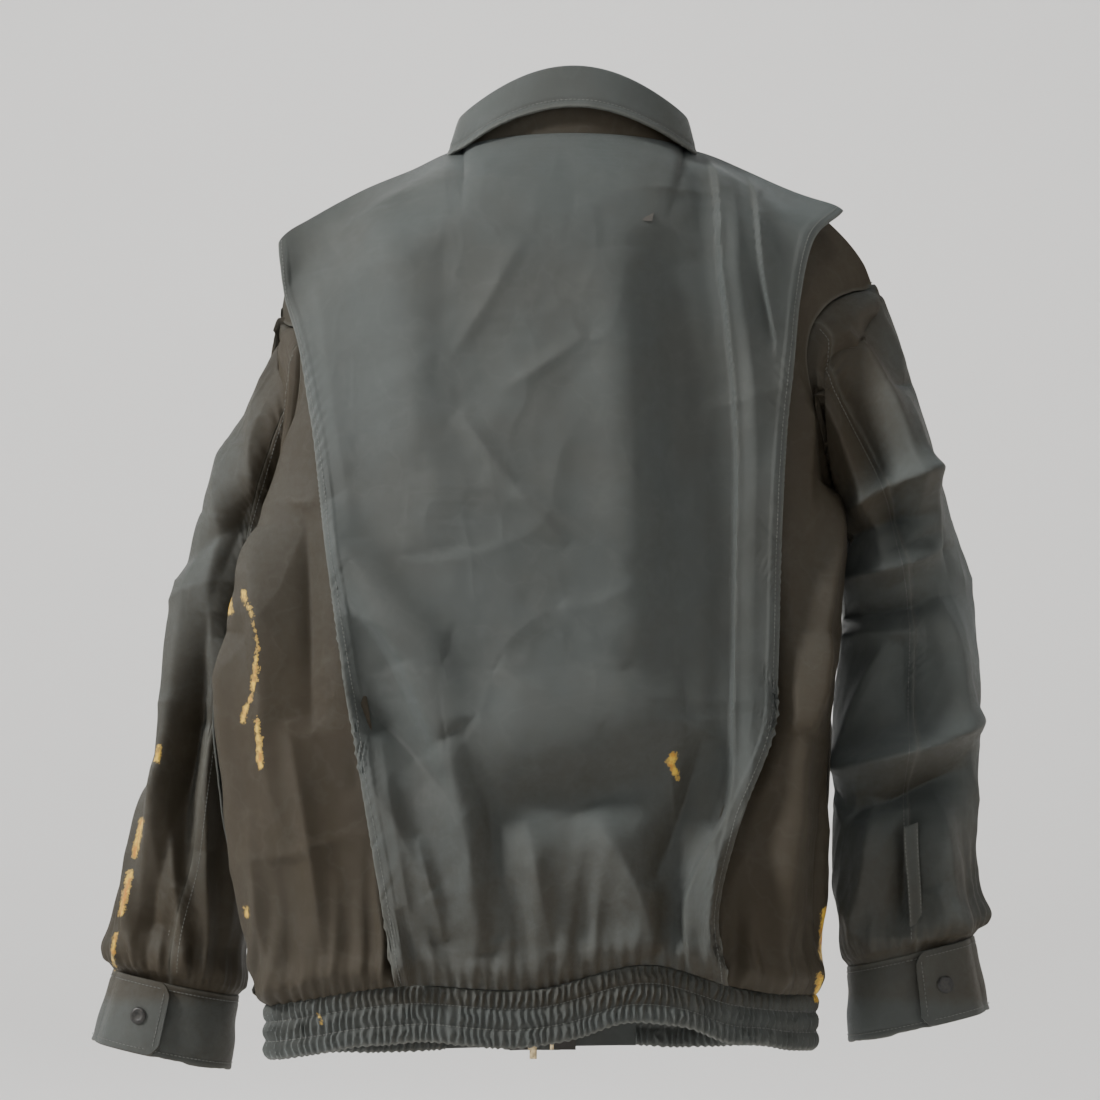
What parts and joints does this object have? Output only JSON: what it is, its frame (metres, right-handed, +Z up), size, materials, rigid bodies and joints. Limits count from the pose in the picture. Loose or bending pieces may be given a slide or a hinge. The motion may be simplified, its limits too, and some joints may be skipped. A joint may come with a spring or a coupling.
{
  "type": "artist smock jacket",
  "caption": "Long-sleeved blouson jacket for painting in, with a fold-over collar, a raised back overlay, snap cuffs, a gathered hem band and an open zip under a snap fly flap",
  "frame": {"origin": "the hang point: the middle of the neck hole at the height of the back neck seam, where the jacket is held up", "axes": "+X to the wearer's left, +Y to the wearer's back, +Z up"},
  "size_m": [0.7323, 0.2336, 0.8063],
  "materials": {
    "cloth": "satin two-tone weave, grey-green in the light and brown in shade, with dried paint",
    "lining": "plain weave",
    "tape": "twill tape",
    "elastic": "woven elastic",
    "metal": "dull, a little worn",
    "cap": "black enamel"
  },
  "bodies": {
    "jacket": {"back_panel": "cloth", "collar_leaf": "cloth", "collar_stand": "cloth", "cuff_band_left": "cloth", "cuff_band_right": "cloth", "cuff_snap_stud_left": "metal", "cuff_snap_stud_right": "metal", "fly_snap_stud_1": "metal", "fly_snap_stud_2": "metal", "fly_snap_stud_3": "metal", "fly_snap_stud_4": "metal", "fly_snap_stud_5": "metal", "front_left": "cloth", "front_right": "cloth", "hang_loop": "tape", "hem_band": "cloth", "hem_elastic": "elastic", "hem_tab_left": "cloth", "hem_tab_right": "cloth", "neck_facing": "lining", "side_back_left": "cloth", "side_back_right": "cloth", "sleeve_under_left": "cloth", "sleeve_under_right": "cloth", "sleeve_upper_left": "cloth", "sleeve_upper_right": "cloth", "slit_strip_left": "cloth", "slit_strip_right": "cloth", "zip_box": "metal", "zip_chain_left": "metal", "zip_chain_right": "metal", "zip_pin": "metal", "zip_stop_left": "metal", "zip_stop_right": "metal", "zip_tape_left": "tape", "zip_tape_right": "tape"},
    "flap": {"fly_flap": "cloth", "fly_snap_cap_1": "cap", "fly_snap_cap_2": "cap", "fly_snap_cap_3": "cap", "fly_snap_cap_4": "cap", "fly_snap_cap_5": "cap", "fly_snap_socket_1": "metal", "fly_snap_socket_2": "metal", "fly_snap_socket_3": "metal", "fly_snap_socket_4": "metal", "fly_snap_socket_5": "metal"},
    "slider": {"zip_slider": "metal"},
    "pull": {"zip_pull": "metal"},
    "cuff_tab_left": {"cuff_tab_left": "cloth", "cuff_snap_cap_left": "cap", "cuff_snap_socket_left": "metal"},
    "cuff_tab_right": {"cuff_tab_right": "cloth", "cuff_snap_cap_right": "cap", "cuff_snap_socket_right": "metal"}
  },
  "joints": [
    {"name": "flap_turn", "type": "hinge", "parent": "jacket", "child": "flap", "pos_m": [0.0525, -0.0937, -0.4], "axis": [0, 0, 1], "range_deg": [0, 120]},
    {"name": "slider_run", "type": "slide", "parent": "jacket", "child": "slider", "axis": [0, 0, 1], "range_m": [0, 0.589]},
    {"name": "pull_swing", "type": "hinge", "parent": "slider", "child": "pull", "pos_m": [0.0328, -0.0908, -0.71699], "axis": [-1, 0, 0], "range_deg": [0, 8]},
    {"name": "cuff_tab_left_turn", "type": "hinge", "parent": "jacket", "child": "cuff_tab_left", "pos_m": [0.3825, -0.06489, -0.70001], "axis": [-0.2821, -0.0322, 0.9588], "range_deg": [-100, 0]},
    {"name": "cuff_tab_right_turn", "type": "hinge", "parent": "jacket", "child": "cuff_tab_right", "pos_m": [-0.32512, -0.01689, -0.67118], "axis": [0.1886, -0.0331, 0.9815], "range_deg": [0, 100]}
  ]
}
